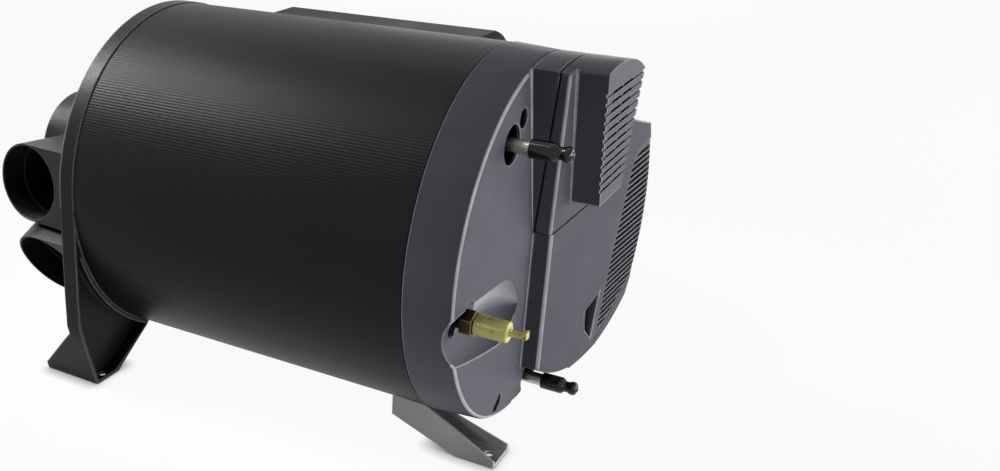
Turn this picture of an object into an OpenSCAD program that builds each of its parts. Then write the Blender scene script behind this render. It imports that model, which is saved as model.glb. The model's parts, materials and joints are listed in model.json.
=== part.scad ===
// Combined air and water heater for a caravan: a drum with a moulded cap at each end,
// air outlets at the rear, fan and electronics covers at the front, a flue box at the side.

/* [Drum] */
// Outer radius of the jacket
jacket_r = 141.5; // [138:0.5:146]
// Length of the jacket
jacket_len = 290; // [280:1:310]
// Sheet thickness of the jacket
jacket_wall = 1.5; // [1:0.1:2]
// Height of the drum axis above the floor
axis_h = 157.5; // [155:0.5:164]
// Thickness of the gasket at each end of the jacket
gasket_t = 1; // [0.8:0.1:2]

/* [Rear cap] */
// How far the rear ring stands proud of the jacket
ring_proud = 1; // [0.5:0.1:2]
// Width of the rear ring along the drum
ring_w = 18; // [14:0.5:24]
// Length of the hub behind the ring
hub_len = 108; // [102:1:110]
// Radius of the hub at the ring
hub_root_r = 62; // [58:0.5:66]
// Radius of the hub's flat end
hub_end_r = 51.5; // [50:0.5:54]
// Wall of the rear cap
rear_wall = 2.8; // [2:0.1:4]

/* [Air outlets] */
// Radius of the bore that takes a warm-air duct
outlet_bore_r = 32.5; // [30:0.5:34]
// Wall of an outlet
outlet_wall = 1.9; // [1.5:0.1:2.4]
// Depth of the duct socket
outlet_socket = 22; // [18:1:26]
// Height of the stop ring at the bottom of the socket
outlet_stop = 1.6; // [1:0.1:3]
// Upper outlets: mouth behind the ring, off the axis, below the axis, yaw, pitch, length
upper_outlet = [76.8, 99.3, 2.7, 86, -5.5, 68];
// Lower outlets: mouth behind the ring, off the axis, below the axis, yaw, pitch, length
lower_outlet = [63.7, 97.4, 77.2, 88, 25.7, 84];

/* [Rear feet] */
// Width of a foot's leg along the drum
leg_w = 15; // [12:0.5:17]
// Length of a foot's base along the drum
base_len = 58; // [50:1:64]
// Thickness of a foot's walls
foot_wall = 3; // [2:0.1:4]
// Radius of a foot's screw hole
foot_hole_r = 3.25; // [2.5:0.25:4]

/* [Front cap] */
// Length of the front flange along the drum
flange_len = 36.5; // [32:0.5:42]
// Radius of the front face
face_r = 140; // [136:0.5:141]
// How far the flange's rear edge stands proud of the jacket
flange_proud = 0.5; // [0.3:0.1:1]
// Wall of the front cap
cap_wall = 2.8; // [2:0.1:3.5]
// Radius of the hole round each water tube and the gas fitting
port_hole_r = 14; // [12:0.5:16]
// Radius of the spare cable hole
cable_hole_r = 7; // [5:0.5:9]
// Radius of the hand scoop round the gas fitting
scoop_r = 26; // [24:0.5:28]

/* [Front covers] */
// Wall of the covers
cover_wall = 2.5; // [2:0.1:3]
// Side offset of the covers' left wall from the axis
wall_y = 2.3; // [0:0.1:4]
// Height of the fan cover's front above the face at its left edge
fan_rise = 14.5; // [12:0.5:17]
// Outward slope of the fan cover's front across the heater
fan_slope = 0.29; // [0.25:0.01:0.31]
// Side offset of the fan cover's right flat from the axis
flat_y = 122.5; // [119:0.5:123]
// Radius of the fan cover's right corner
corner_r = 7; // [5:0.5:10]
// Radius of the fan cover's left edge
edge_r = 4; // [3.5:0.25:6]
// Height of the joint between the two covers above the axis
seam_z = 7; // [4:0.5:10]
// Rise of the joint between the two covers across the heater
seam_rise = 0.3; // [0.2:0.05:0.32]
// Gap at the joint between the two covers
seam_gap = 0.25; // [0.2:0.05:0.3]
// Side offset of the electronics cover's right wall
column_y = 66; // [62:0.5:70]
// Height of the electronics box's front above the face, at its top
box_rise = 51; // [49:0.5:54]
// Height of the electronics box's lower wall above the axis
box_z = 30; // [29:0.5:36]

/* [Louvre and vents] */
// Side offset of the louvre's left edge at the height of the axis
louvre_y = 90; // [86:0.5:92]
// Lean of the louvre's left edge
louvre_lean = 0.13; // [0.1:0.01:0.16]
// Tilt of the louvre's slats
slat_tilt = 20.5; // [16:0.5:24]
// Spacing of the louvre's slats
slat_pitch = 4.5; // [4:0.25:6]
// Thickness of a slat
slat_t = 2.2; // [1.6:0.1:2.6]
// Clearance of the louvre in its opening
louvre_gap = 0.2; // [0.15:0.05:0.3]
// Number of vent slots in the electronics cover
vent_count = 12; // [7:1:12]
// Spacing of the vent slots
vent_pitch = 7; // [6.4:0.1:7.2]
// Width of a vent slot
vent_w = 2.2; // [1.4:0.1:2.6]
// Length of a vent slot
vent_len = 21; // [18:0.5:22]

/* [Water and gas] */
// Outer radius of a water tube
tube_r = 5; // [4:0.25:6]
// Wall of the water and gas tubes
tube_wall = 1; // [0.8:0.1:1.2]
// How far a water tube stands out of the face
tube_out = 27; // [24:1:32]
// Wall of a protective cap
plug_wall = 1.6; // [1.2:0.1:2]
// Radial clearance of a protective cap on its tube
plug_gap = 0.1; // [0.06:0.01:0.15]
// Hot water tube: side offset and height from the axis
hot_at = [-57, 90];
// Cold water tube: side offset from the axis and distance inside the drum's bottom
cold_at = [22, 11];
// Gas fitting: distance inside the drum's near side and height from the axis
gas_at = [29, -20];
// Radius of the gas fitting's nipple
gas_r = 6; // [5:0.25:7]

/* [Inside the drum] */
// Room for the insulation between the tank and the jacket
insulation_t = 9; // [7:0.5:12]
// Inner radius of the water tank
tank_bore_r = 60; // [58:0.5:62]
// Sheet thickness of the water tank
tank_wall = 1.5; // [1:0.1:2]
// Gap between the tank's ends and the jacket's ends
tank_inset = [15, 50];
// Radius of the combustion chamber
chamber_r = 45; // [43:0.5:46]
// Number of fins on the heat exchanger
fin_count = 30; // [24:1:36]
// Thickness of a fin
fin_t = 2; // [1.5:0.1:2.5]
// Clearance between pieces that are pushed together
fit_gap = 0.2; // [0.15:0.05:0.25]

/* [Fans] */
// Circulation fan: side offset and height from the axis
fan_at = [64, -46];
// Radius of the circulation wheel
wheel_r = 49; // [46:0.5:50]
// Width of the circulation wheel
wheel_w = 34; // [30:0.5:36]
// Number of blades on the circulation wheel
blade_count = 24; // [16:1:30]
// Radius of the combustion-air blower's housing
blower_r = 44; // [42:0.5:45]
// Radius of the fan shafts
shaft_r = 4; // [3:0.25:5]
// Radial running clearance of the shafts
shaft_gap = 0.05; // [0.03:0.01:0.08]
// Radial clearance of a wheel pushed onto its shaft
press_gap = 0.02; // [0.01:0.01:0.03]

/* [Flue box] */
// Side offset of the box's outer face
box_y = 270; // [262:1:276]
// Gap between the rear ends of the box and the jacket
flue_inset = 5; // [4:0.5:10]
// Front end of the box along the drum, from the middle
flue_end = 80; // [76:1:84]
// Height of the box's top and bottom from the axis
flue_box_z = [-118, 115];
// Wall of the box
flue_wall = 2.5; // [2:0.1:3.5]
// Radius of the exhaust pipe
exhaust_r = 27.5; // [25:0.5:29]
// Inner radius of the combustion-air collar
air_bore_r = 38.5; // [37:0.5:40]
// Wall of the combustion-air collar
collar_wall = 2; // [1.5:0.1:2.5]
// How far the collar and the exhaust stand out of the box
flue_out = 29; // [24:1:34]
// Place of the flue along the drum, from the middle
flue_x = 10; // [0:1:20]

/* [Hidden] */
$fn = 96;
eps = 0.01;
big = 400;
ring_r = jacket_r + ring_proud;
x_end = jacket_len/2;
x_rear = -x_end - gasket_t;
x_ring = x_rear - ring_w;
x_hub = x_ring - hub_len;
x_front = x_end + gasket_t;
x_face = x_front + flange_len;
cover_r = face_r;
outlet_r = outlet_bore_r + outlet_wall;
// Radius that the jacket and the face both leave free
free_r = min(jacket_r - jacket_wall, face_r);
cold_yz = [cold_at[0], cold_at[1] - free_r];
gas_yz = [gas_at[0] - free_r, gas_at[1]];

// Reach of a tilted outlet's rim towards the rear
function mouth_nx(o) = cos(o[3])*cos(o[4]);
function mouth_min(o) = x_ring - o[0] - outlet_r*sqrt(1 - pow(mouth_nx(o), 2));
x_min = min(mouth_min(upper_outlet), mouth_min(lower_outlet));
x_max = x_face + box_rise;
leg_out = 9.5;
y_min = -jacket_r - leg_out;
y_max = box_y + flue_out;
collar_r = air_bore_r + collar_wall;

// Fan cover front: a plane that leans outward across the heater
slope_len = sqrt(1 + fan_slope*fan_slope);
x_fan = x_face + fan_rise;
function fan_x(y, i) = x_fan + fan_slope*(y - wall_y) - i*slope_len;
// Electronics cover: left wall leans with height, front leans with both
wall_lean = 0.25;
front_lean = 0.16;
box_lean = 0.064;
box_top_y = -26;
box_wall_lean = 0.37;
shoulder_lean = 0.147;
lean_len = sqrt(1 + wall_lean*wall_lean);
rise_len = sqrt(1 + seam_rise*seam_rise);
// Height of the joint between the covers across the heater
function seam_at(y) = seam_z + seam_rise*(y - wall_y);
box_lean_len = sqrt(1 + box_wall_lean*box_wall_lean);
ledge_z = [86, 66];
foot_z = -axis_h;

x_bulk = x_end - 5;
bulk_t = 3;
tank_r = jacket_r - jacket_wall - insulation_t;
x_tank = [-x_end + tank_inset[0], x_end - tank_inset[1]];
x_ex = [x_tank[0] - 5, x_tank[1] + 5];
flange_t = 4;
x_burner = x_ex[1];
x_blower = x_burner + flange_t;
blower_w = x_bulk - 3 - x_blower;
wheel_gap = 2;
wheel_x = x_face + 3 - wheel_w;
motor_r = 25;
blower_motor_r = 19;
blower_motor_len = 28;
head_r = 4;
head_h = 2.5;
// Room left outside an outline that another outline trims
spare = 1;
// Step between a round and the flat it runs into
blend = 0.02;

// Moves a piece from the drum's own axis to the middle of the whole heater's footprint
module place() translate([-(x_min + x_max)/2, -(y_min + y_max)/2, axis_h]) children();
// Turns a profile of radius and length about the drum's axis
module turned() rotate([0, 90, 0]) rotate_extrude() children();
// Pulls an end-on outline out along the drum
module along(x0, x1) translate([x0, 0, 0]) rotate([90, 0, 90]) linear_extrude(x1 - x0) children();
// Round bar along the drum
module bar(x0, x1, r, at = [0, 0])
    translate([x0, at[0], at[1]]) rotate([0, 90, 0]) cylinder(r = r, h = x1 - x0);
module tube(x0, x1, r, bore, at = [0, 0]) difference() {
    bar(x0, x1, r, at);
    bar(x0 - 1, x1 + 1, bore, at);
}
// Space behind a plane that passes p and climbs forward across and up the heater
module behind(p, ky = 0, kz = 0)
    translate(p)
    rotate([0, asin(kz/sqrt(1 + ky*ky + kz*kz)), -atan(ky)])
    translate([-big, -big, -big])
    cube([big, 2*big, 2*big]);

module ahead(p, ky = 0, kz = 0) difference() {
    translate([0, -big, -big]) cube(2*big);
    behind(p, ky, kz);
}

// Drum
module ring_section(r0, r1, x0, x1) translate([r0, x0]) square([r1 - r0, x1 - x0]);
module jacket() color("#28282a") place() difference() {
    turned() ring_section(jacket_r - jacket_wall, jacket_r, -x_end, x_end);
    flue_cut(sleeve_r);
}
module gasket(x0) color("#151515") place()
    turned() ring_section(jacket_r - jacket_wall, jacket_r - 0.2, x0, x0 + gasket_t);
module front_gasket() gasket(x_end);
module rear_gasket() gasket(x_rear);

// Rear cap and its outlets
hub_edge = 3;
ring_edge = 4;
module rear_profile(i) polygon([
    [0, x_hub + i],
    [hub_end_r - hub_edge - i*0.4, x_hub + i],
    [hub_end_r - i, x_hub + hub_edge + i*0.6],
    [hub_root_r - i, x_ring + i],
    [ring_r - ring_edge - i, x_ring + i],
    [ring_r - i, x_ring + ring_edge + i],
    [ring_r - i, x_rear + (i > 0 ? 1 : 0)],
    [0, x_rear + (i > 0 ? 1 : 0)]
]);
module at_outlet(o, side) mirror([0, side > 0 ? 1 : 0, 0])
    translate([x_ring - o[0], -o[1], -o[2]])
    rotate([0, -90 - o[4], o[3]])
    children();
// Pocket in the ring's back that takes the end of an outlet
pocket = 0.6;
// Radius of the passage that opens every outlet into the hub
core_r = 46;
// Outer form of an outlet: a round collar and the block that joins it to the ring
module outlet_form(o, side, g) intersection() {
    behind([x_ring + pocket - fit_gap + g, 0, 0]);
    at_outlet(o, side) translate([0, 0, -o[5] - g]) {
        cylinder(r = outlet_r + g, h = o[5] + g);
        block(o, outlet_r + g - blend, o[5] + g);
    }
}
module block(o, half, depth) translate([-half, -o[0] - outlet_r, 0])
    cube([2*half, o[0] + outlet_r, depth]);
module rear_cap() color("#2b2b2d") place() difference() {
    turned() rear_profile(0);
    turned() rear_profile(rear_wall);
    for (side = [-1, 1]) for (o = [upper_outlet, lower_outlet]) outlet_form(o, side, fit_gap);
}
module outlet(o, side) difference() {
    outlet_form(o, side, 0);
    at_outlet(o, side) {
        translate([0, 0, -outlet_socket]) cylinder(r = outlet_bore_r, h = outlet_socket + 1);
        translate([0, 0, outlet_wall - o[5]]) cylinder(r = outlet_bore_r - outlet_stop, h = o[5]);
        translate([0, 0, outlet_wall - o[5]]) difference() {
            block(o, outlet_r - blend - outlet_wall, o[5] - 2*outlet_wall);
            cylinder(r = outlet_r, h = o[5]);
        }
    }
    bar(x_hub - 1, x_ring + 1, core_r);
}
module lower_outlet_piece(side) difference() {
    outlet(lower_outlet, side);
    outlet_form(upper_outlet, side, fit_gap);
}
module outlet_upper_near() color("#2b2b2d") place() outlet(upper_outlet, -1);
module outlet_upper_far() color("#2b2b2d") place() outlet(upper_outlet, 1);
module outlet_lower_near() color("#2b2b2d") place() lower_outlet_piece(-1);
module outlet_lower_far() color("#2b2b2d") place() lower_outlet_piece(1);

// Rear feet: a flanged leg that follows the ring, with a flared base
leg_y = jacket_r + leg_out;
foot_y = [jacket_r - 3.5, jacket_r - 31];
leg_z = [-12, -68, -98, -121];
leg_in = [64, -60, -127];
flare_z = -106;
sole_h = 7;
module leg_outline(i) difference() {
    polygon([
        [-ring_r - 0.6 + i, leg_z[0]],
        [-leg_y + 2 + i, leg_z[1]],
        [-leg_y + i, leg_z[2]],
        [-leg_y + 4.5 + i, leg_z[3]],
        [-foot_y[0] + i, foot_z + (i > 0 ? foot_wall : 0)],
        [-foot_y[1] - i, foot_z + (i > 0 ? foot_wall : 0)],
        [-leg_in[0] - i*2, leg_in[2] - i*0.6],
        [-leg_in[0] - i*2, leg_in[1]]
    ]);
    circle(ring_r + fit_gap + i);
}
module leg_side() translate([0, big, 0]) rotate([90, 0, 0]) linear_extrude(2*big) polygon([
    [x_rear, 0],
    [x_rear, foot_z],
    [x_rear - base_len, foot_z],
    [x_rear - base_len, foot_z + sole_h],
    [x_rear - leg_w, flare_z],
    [x_rear - leg_w, 0]
]);
module leg_shell() intersection() {
    leg_side();
    union() {
        difference() {
            along(x_rear - base_len, x_rear) leg_outline(0);
            along(x_rear - base_len - 1, x_rear + 1) leg_outline(foot_wall);
        }
        along(x_rear - leg_w, x_rear - leg_w + foot_wall) leg_outline(0);
    }
}
foot_hole = [x_rear - leg_w/2 + 1, -(foot_y[0] + foot_y[1])/2, foot_z - 1];
module rear_foot(side) color("#222224") place() mirror([0, side > 0 ? 1 : 0, 0]) difference() {
    leg_shell();
    translate(foot_hole) cylinder(r = foot_hole_r, h = foot_wall + 2);
}
module rear_foot_near() rear_foot(-1);
module rear_foot_far() rear_foot(1);

// Front foot: a sheet-metal channel under the drum and the front cap
channel_y = [-77, -47];
channel_t = 2.5;
channel_back = 36;
channel_x = [x_end - channel_back, x_face - 18, x_face + 14];
wall_x = x_face - 51.5;
channel_lap = [3.2, 2];
wall_top = [for (k = [0, 1]) channel_lap[k] - sqrt(jacket_r*jacket_r - channel_y[k]*channel_y[k])];
tip_h = 6;
rise_h = 21;
module channel_side(top) polygon([
    [channel_x[0], top],
    [channel_x[0], foot_z + rise_h],
    [channel_x[1], foot_z],
    [channel_x[2], foot_z],
    [channel_x[2], foot_z + tip_h],
    [wall_x, top]
]);
module channel_bottom() polygon([
    [channel_x[0], foot_z + rise_h + channel_t],
    [channel_x[0], foot_z + rise_h],
    [channel_x[1], foot_z],
    [channel_x[2], foot_z],
    [channel_x[2], foot_z + channel_t],
    [channel_x[1], foot_z + channel_t]
]);
module across(y0, y1) translate([0, y1, 0]) rotate([90, 0, 0]) linear_extrude(y1 - y0) children();
tip_hole = [x_face + 4, (channel_y[0] + channel_y[1])/2, foot_z - 1];
module front_foot() color("#6a6b69") place() difference() {
    union() {
        across(channel_y[0], channel_y[0] + channel_t) channel_side(wall_top[0]);
        across(channel_y[1] - channel_t, channel_y[1]) channel_side(wall_top[1]);
        across(channel_y[0], channel_y[1]) channel_bottom();
    }
    bar(0, x_front + fit_gap, jacket_r + fit_gap);
    bar(x_front, big, jacket_r + flange_proud + fit_gap);
    translate(tip_hole) cylinder(r = foot_hole_r, h = channel_t + 2);
}

// Front cap: flange, face, hand scoop and the shoulder that carries the electronics cover
module flange_profile(i) polygon([
    [0, x_front - (i > 0 ? 1 : 0)],
    [jacket_r + flange_proud - i, x_front - (i > 0 ? 1 : 0)],
    [face_r - i, x_face - 3 - i*0.5],
    [face_r - 1.5 - i, x_face - i],
    [0, x_face - i]
]);
scoop_tip = [x_face, -17, -45];
scoop_nose = 36;
scoop_tilt = 9;
scoop_climb = 9;
module scoop(r) translate(scoop_tip) rotate([-scoop_climb, 0, scoop_tilt]) rotate([90, 0, 0])
    rotate_extrude() intersection() {
        square([r, 190]);
        union() {
            translate([0, scoop_nose]) square([r, 190]);
            translate([r - scoop_nose, scoop_nose]) circle(scoop_nose);
        }
    }
module upper_outline(i) intersection() {
    circle(cover_r - i);
    yl = wall_y - wall_lean*seam_z + i*lean_len;
    polygon([
        [yl, seam_at(yl) + i*rise_len],
        [column_y - i, seam_at(column_y - i) + i*rise_len],
        [column_y - i, big],
        [wall_y - wall_lean*big + i*lean_len, big]
    ]);
}
module shoulder(i) intersection() {
    along(x_face - (i > 0 ? 2*cap_wall : eps), x_face + box_rise) upper_outline(i);
    behind([x_face, 0, seam_z - 2], 0, shoulder_lean);
}
port_depth = 20;
cable_at = [-39, 104];
slot_at = [-43, -121];
slot_r = 4;
slot_step = [3.5, 2.5];
notch = [13, 6, 4];
module face_slot() for (s = [-1, 0, 1])
    bar(x_face - port_depth, x_face + 1, slot_r, slot_at + s*slot_step);
module front_cap() color("#6a6b73") place() difference() {
    union() {
        difference() {
            turned() flange_profile(0);
            turned() flange_profile(cap_wall);
        }
        intersection() {
            turned() flange_profile(0);
            scoop(scoop_r + cap_wall);
        }
        difference() {
            shoulder(0);
            shoulder(cap_wall);
        }
    }
    scoop(scoop_r);
    bar(x_front, x_face + 1, port_hole_r, gas_yz);
    for (at = [hot_at, cold_yz]) bar(x_face - port_depth, x_face + 1, port_hole_r, at);
    bar(x_face - port_depth, x_face + 1, cable_hole_r, cable_at);
    face_slot();
    bar(x_face - cap_wall - 1, x_face + 1, wheel_r + wheel_gap, fan_at);
    translate([x_face + 1 - notch[0], -10, -face_r - 1]) cube(notch);
}

// Fan cover: a moulded hood with a sloping front, rounded edges and the louvre's opening
foot_curve = [45, 87 - free_r, 71];
module lower_outline(i) intersection() {
    yc = column_y + seam_gap + i;
    circle(cover_r - i);
    union() {
        translate([foot_curve[0], foot_curve[1]]) circle(foot_curve[2] - i);
        translate([foot_curve[0], -big]) square([big, 2*big]);
        translate([-big, foot_curve[1]]) square([2*big, big]);
    }
    polygon([
        [wall_y + i - spare, -big],
        [flat_y - i + spare, -big],
        [flat_y - i + spare, ledge_z[1] - i],
        [yc, ledge_z[0] - i],
        [yc, seam_at(yc) - (seam_gap + i)*rise_len],
        [wall_y + i - spare, seam_at(wall_y + i - spare) - (seam_gap + i)*rise_len]
    ]);
}
function round_y(side, r) = side < 0 ? wall_y + r : flat_y - r;
function round_x(y, r) = fan_x(y, 0) - r*slope_len;
module fan_plan(i) {
    yl = round_y(-1, edge_r);
    xl = round_x(yl, edge_r);
    yr = round_y(1, corner_r);
    xr = round_x(yr, corner_r);
    polygon([
        [x_face - big, wall_y + i + blend],
        [xl, wall_y + i + blend],
        [xl, yl] + (edge_r - i - blend)/slope_len*[1, -fan_slope],
        [xr, yr] + (corner_r - i - blend)/slope_len*[1, -fan_slope],
        [xr, flat_y - i - blend],
        [x_face - big, flat_y - i - blend]
    ]);
    translate([xl, yl]) circle(edge_r - i);
    translate([xr, yr]) circle(corner_r - i);
}
module hood(i) intersection() {
    along(x_face - (i >= cover_wall ? 1 : 0), x_face + 2*box_rise) lower_outline(i);
    translate([0, 0, -big]) linear_extrude(2*big) fan_plan(i);
}
louvre_arc = [121, 28];
louvre_len = sqrt(1 + louvre_lean*louvre_lean);
function louvre_edge(z, i) = louvre_y + louvre_lean*z + i*louvre_len;
module louvre_outline(i) intersection() {
    polygon([
        [louvre_edge(-big, i), -big],
        [big, -big],
        [big, big],
        [louvre_edge(big, i), big]
    ]);
    circle(cover_r - 6 - i);
    union() {
        translate([0, -big]) square([big, big + louvre_arc[1]]);
        translate(louvre_arc) circle(louvre_arc[0] - louvre_edge(louvre_arc[1], i) - blend);
    }
    translate([0, -big]) square([big, big + ledge_z[1] - 8 - i]);
}
x_louvre = fan_x(louvre_y, 0) - 12;
recess_depth = 6;
recess_at = [66, -86];
recess_r = 24;
recess_outline = [[-8, 8], [10, 20], [5, -20], [-4, -10]];
module fan_front(depth) ahead([x_fan - depth, wall_y, 0], fan_slope);
module fan_cover() color("#6a6b73") place() difference() {
    union() {
        difference() {
            hood(0);
            hood(cover_wall);
        }
        intersection() {
            hood(0);
            along(x_face, x_max) translate(recess_at) circle(recess_r);
            fan_front(recess_depth + cover_wall);
        }
    }
    along(x_louvre, x_max) louvre_outline(0);
    intersection() {
        along(x_face, x_max) translate(recess_at) polygon(recess_outline);
        fan_front(recess_depth);
    }
}
slat_span = [-106, 48];
module intake_louvre() color("#5c5d64") place() intersection() {
    along(x_louvre + louvre_gap, x_face + 2*box_rise) louvre_outline(louvre_gap);
    difference() {
        hood(0.6);
        hood(0.6 + cover_wall);
    }
    union() {
        for (z = [slat_span[0] : slat_pitch : slat_span[1]])
            translate([x_face - 20, louvre_y, 0]) rotate([slat_tilt, 0, 0])
                translate([0, -big, z]) cube([big, 2*big, slat_t]);
        along(x_face, x_face + 2*box_rise) difference() {
            louvre_outline(louvre_gap);
            louvre_outline(3);
        }
    }
}

// Electronics cover: left wall, sloping base and the vented box that stands out of it
function box_wall_y(z) = box_top_y + box_wall_lean*(cover_r - z);
module box_outline(i) intersection() {
    circle(cover_r - i);
    polygon([
        [box_wall_y(box_z) + i*box_lean_len, box_z + i],
        [column_y - i, box_z + i],
        [column_y - i, cover_r - 26],
        [column_y - 22, big],
        [box_wall_y(big) + i*box_lean_len, big]
    ]);
}
module upper_hood(i) {
    intersection() {
        along(x_face - 20, x_face + 2*box_rise) upper_outline(i);
        behind([x_fan - i*slope_len, wall_y, seam_z], fan_slope - front_lean*seam_rise, front_lean);
        behind([x_max - i, 0, cover_r], 0, box_lean);
    }
    intersection() {
        along(x_face - 20, x_face + 2*box_rise) box_outline(i);
        behind([x_max - i, 0, cover_r], 0, box_lean);
    }
}
vent_z = box_z + 13;
board_room = 20;
rib_at = [23, 100];
rib_w = 3;
function rib_y(z) = rib_at[0] + wall_lean*(rib_at[1] - z);
groove_depth = 1;
function row_z(k) = vent_z + k*vent_pitch;
function groove_x(z) = x_max - (cover_r - z)*box_lean - groove_depth;
module vents() for (k = [0 : vent_count - 1]) for (s = [0, 1])
    translate([x_face + board_room, rib_y(row_z(k)) + rib_w/2 - s*(vent_len + rib_w), row_z(k)])
    cube([box_rise, vent_len, vent_w]);
module grooves() for (k = [0 : vent_count - 1])
    translate([groove_x(row_z(k)), -big, row_z(k)]) cube([box_rise, 2*big, vent_w]);
module electronics_cover() color("#6a6b73") place() difference() {
    upper_hood(0);
    upper_hood(cover_wall);
    behind([x_face + seam_gap, 0, seam_z - 2], 0, shoulder_lean);
    vents();
    grooves();
}

// Electronics
board_x = x_face + 10;
board_t = 1.6;
board_y = [4, 56];
board_z = [32, 104];
post_r = 3.5;
post_in = 6;
post_y = [board_y[0] + post_in, board_y[1] - post_in];
post_z = [board_z[0] + post_in, board_z[1] - post_in];
posts = [for (y = post_y) for (z = post_z) [y, z]];
post_tip_r = 1.5;
post_hole_r = 1.6;
module circuit_board() color("#1f5a35") place() difference() {
    along(board_x, board_x + board_t) translate([board_y[0], board_z[0]])
        square([board_y[1] - board_y[0], board_z[1] - board_z[0]]);
    for (p = posts) bar(board_x - 1, board_x + board_t + 1, post_hole_r, p);
}
module board_posts() color("#8a6b2c") place() for (p = posts) {
    bar(x_face, board_x, post_r, p);
    bar(board_x - eps, board_x + board_t + 1.5, post_tip_r, p);
}
part_x = board_x + board_t;
plug_size = [7, 6, 9];
relay_size = [6, 12, 16];
can_r = 3.5;
can_h = 7;
module board_parts() color("#2c2c30") place() {
    for (k = [0 : 3]) translate([part_x, board_y[0] + 13 + 7*k, board_z[0] + 6]) cube(plug_size);
    for (k = [0 : 1]) translate([part_x, board_y[0] + 14 + 15*k, board_z[0] + 26]) cube(relay_size);
    for (k = [0 : 2]) bar(part_x, part_x + can_h, can_r, [board_y[0] + 16 + 10*k, board_z[1] - 16]);
}

// Water tubes and their protective caps
tube_x = x_face + tube_out;
module hot_water_tube() color("#b9b9b4") place()
    tube(x_tank[1] - tank_wall, tube_x, tube_r, tube_r - tube_wall, hot_at);
cold_port = cold_yz + [0, 17];
cold_bend_x = x_tank[1] + 24;
module cold_path(r) {
    past = r < tube_r ? 1 : 0;
    bar(x_tank[1] - tank_wall - past, cold_bend_x, r, cold_port);
    straight_link([cold_bend_x, cold_port[0], cold_port[1]], [cold_bend_x, cold_yz[0], cold_yz[1]], r);
    bar(cold_bend_x, tube_x + past, r, cold_yz);
}
// Straight length between two points, with a round elbow at each end
module straight_link(a, b, r) {
    d = b - a;
    translate(a) sphere(r);
    translate(b) sphere(r);
    translate(a) rotate([0, acos(d[2]/norm(d)), atan2(d[1], d[0])]) cylinder(r = r, h = norm(d));
}
module cold_water_tube() color("#b9b9b4") place() difference() {
    cold_path(tube_r);
    cold_path(tube_r - tube_wall);
}
plug_len = 29;
plug_over = 14;
module plug(at) {
    r = tube_r + plug_gap + plug_wall;
    x0 = tube_x - plug_over;
    difference() {
        union() {
            bar(x0, x0 + 19, r, at);
            bar(x0 + 18, x0 + plug_len - 3, r - 2, at);
            translate([x0 + plug_len - 4, at[0], at[1]]) sphere(r - 1.2);
        }
        bar(x0 - 1, tube_x + 1, tube_r + plug_gap, at);
        translate([x0 + 20, at[0] - 10, at[1] + r - 2.6]) cube([5, 20, 10]);
    }
}
module hot_water_cap() color("#161617") place() plug(hot_at);
module cold_water_cap() color("#161617") place() plug(cold_yz);

// Gas side
x_valve = [x_bulk + bulk_t, x_bulk + bulk_t + 15];
gas_x = [x_valve[1], x_face - 4, x_face + 16];
nut_r = 10;
module gas_fitting() color("#7a5a2b") place() difference() {
    union() {
        bar(gas_x[0], gas_x[2], gas_r, gas_yz);
        bar(gas_x[0], gas_x[0] + 8, gas_r + 3, gas_yz);
    }
    bar(gas_x[0] - 1, gas_x[2] + 1, gas_r - 2, gas_yz);
}
module gas_locknut() color("#7a5a2b") place() difference() {
    translate([gas_x[1], gas_yz[0], gas_yz[1]]) rotate([0, 90, 0]) cylinder(r = nut_r, h = 9, $fn = 6);
    bar(gas_x[1] - 1, gas_x[1] + 10, gas_r + shaft_gap, gas_yz);
}
gas_cap_x = gas_x[1] + 9 + 0.3;
gas_cap_len = 24;
stem_len = 13;
stem_end = gas_cap_x + gas_cap_len + stem_len;
stem_r = 2.4;
flag = [4, 3, 8];
module gas_cap() color("#d9d98a") place() difference() {
    union() {
        bar(gas_cap_x, gas_cap_x + gas_cap_len, gas_r + plug_gap + plug_wall, gas_yz);
        bar(gas_cap_x + gas_cap_len - 1, stem_end, stem_r, gas_yz);
        translate([stem_end - flag[0], gas_yz[0] - flag[1]/2, gas_yz[1] - flag[2]/2])
            cube(flag);
    }
    bar(gas_cap_x - 1, gas_x[2] + 1, gas_r + plug_gap, gas_yz);
}
module gas_valve() color("#8d8f92") place() difference() {
    along(x_valve[0], x_valve[1]) translate(gas_yz - [14, 16]) square([28, 32]);
    bar(x_valve[0] - 1, x_valve[1] + 1, gas_r - 2, gas_yz);
}
pipe_r = 4;
pipe_end = [-51, -20];
pipe_x = x_blower + 8;
module pipe_path(r) {
    bar(pipe_x, x_valve[0] + (r < pipe_r ? 1 : 0), r, gas_yz);
    straight_link([pipe_x, gas_yz[0], gas_yz[1]], [pipe_x, pipe_end[0], pipe_end[1]], r);
    bar(x_blower - (r < pipe_r ? 1 : 0), pipe_x, r, pipe_end);
}
module gas_pipe() color("#b87a4a") place() difference() {
    pipe_path(pipe_r);
    pipe_path(pipe_r - tube_wall);
}

// Tank, insulation and heat exchanger
module flue_cut(r) translate([flue_x, 0, 0]) rotate([-90, 0, 0]) cylinder(r = r, h = big);
sleeve_r = exhaust_r + 2;
module tank_section(i)
    ring_section(tank_bore_r + i, tank_r - i, x_tank[0] + i, x_tank[1] - i);
module water_tank() color("#b5b7b8") place() difference() {
    union() {
        difference() {
            turned() tank_section(0);
            turned() tank_section(tank_wall);
        }
        intersection() {
            turned() tank_section(0);
            flue_cut(sleeve_r + tank_wall);
        }
    }
    flue_cut(sleeve_r);
    for (at = [hot_at, cold_port]) bar(x_tank[1] - 5, x_tank[1] + 1, tube_r + shaft_gap, at);
}
module insulation() color("#d6cfae") place() difference() {
    turned() ring_section(tank_r + fit_gap, jacket_r - jacket_wall - fit_gap, x_tank[0], x_tank[1]);
    flue_cut(sleeve_r);
}
ring_len = 8;
screw_pcd_r = 54;
bolt_r = 1.9;
bolt_hole_r = 2;
burner_bolts = [for (a = [45 : 90 : 315]) screw_pcd_r*[cos(a), sin(a)]];
hub_wall = 5;
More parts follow.
